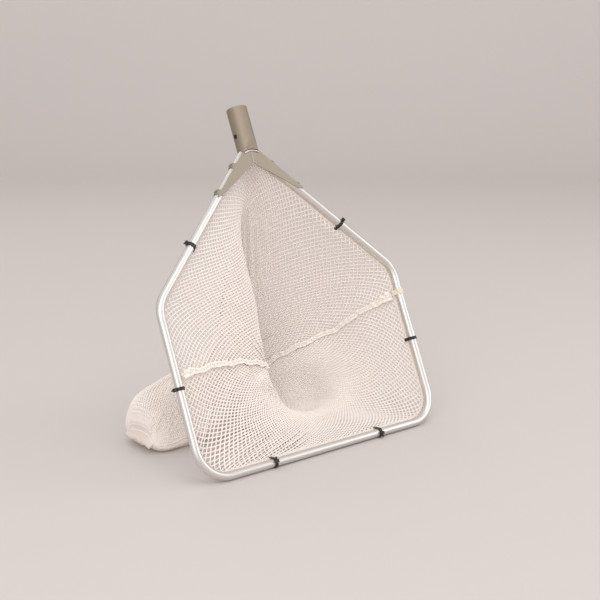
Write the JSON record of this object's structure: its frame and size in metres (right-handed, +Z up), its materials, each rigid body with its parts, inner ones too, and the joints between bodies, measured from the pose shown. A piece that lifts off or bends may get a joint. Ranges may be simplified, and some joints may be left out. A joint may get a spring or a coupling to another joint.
{
  "type": "leaf skimmer net",
  "caption": "Leaf skimmer net: a five-sided bent-tube hoop with an apex bracket and pole socket, and a deep bag of open netting laced inside it with cable ties.",
  "frame": {"origin": "on the floor, in the middle of the rectangle that the standing net covers", "axes": "+X along the hoop's bottom bar, to the right seen from the mouth; +Y back, from the mouth towards the bag; +Z up"},
  "size_m": [0.4565, 0.2711, 0.4938],
  "materials": {
    "hoop_tube": "satin",
    "bracket": "brushed",
    "pole_socket": "drawn tube",
    "weld": "as welded",
    "rivet": "dull",
    "cable_tie": "satin black nylon",
    "hem": "rolled netting",
    "lashing_cord": "cotton cord",
    "netting": "knotless netting, mesh about 6 mm",
    "seam_tape": "ruffled tape"
  },
  "bodies": {
    "root": {"hoop_tube": "hoop_tube", "bracket_leg_left": "bracket", "bracket_leg_right": "bracket", "bracket_rivets": "rivet", "pole_socket": "pole_socket", "socket_weld_front": "weld", "socket_weld_back": "weld", "mitre_weld": "weld", "tie_left_shoulder": "cable_tie", "tie_left_side": "cable_tie", "tie_bottom_left": "cable_tie", "tie_bottom_right": "cable_tie", "tie_right_side": "cable_tie", "tie_right_shoulder": "cable_tie", "hem_upper": "hem", "hem_lower": "hem", "seam_lashing_right": "lashing_cord", "net_upper_panel": "netting", "net_lower_panel": "netting", "seam_left": "seam_tape", "seam_right": "seam_tape", "toe_seam": "seam_tape"}
  },
  "joints": []
}
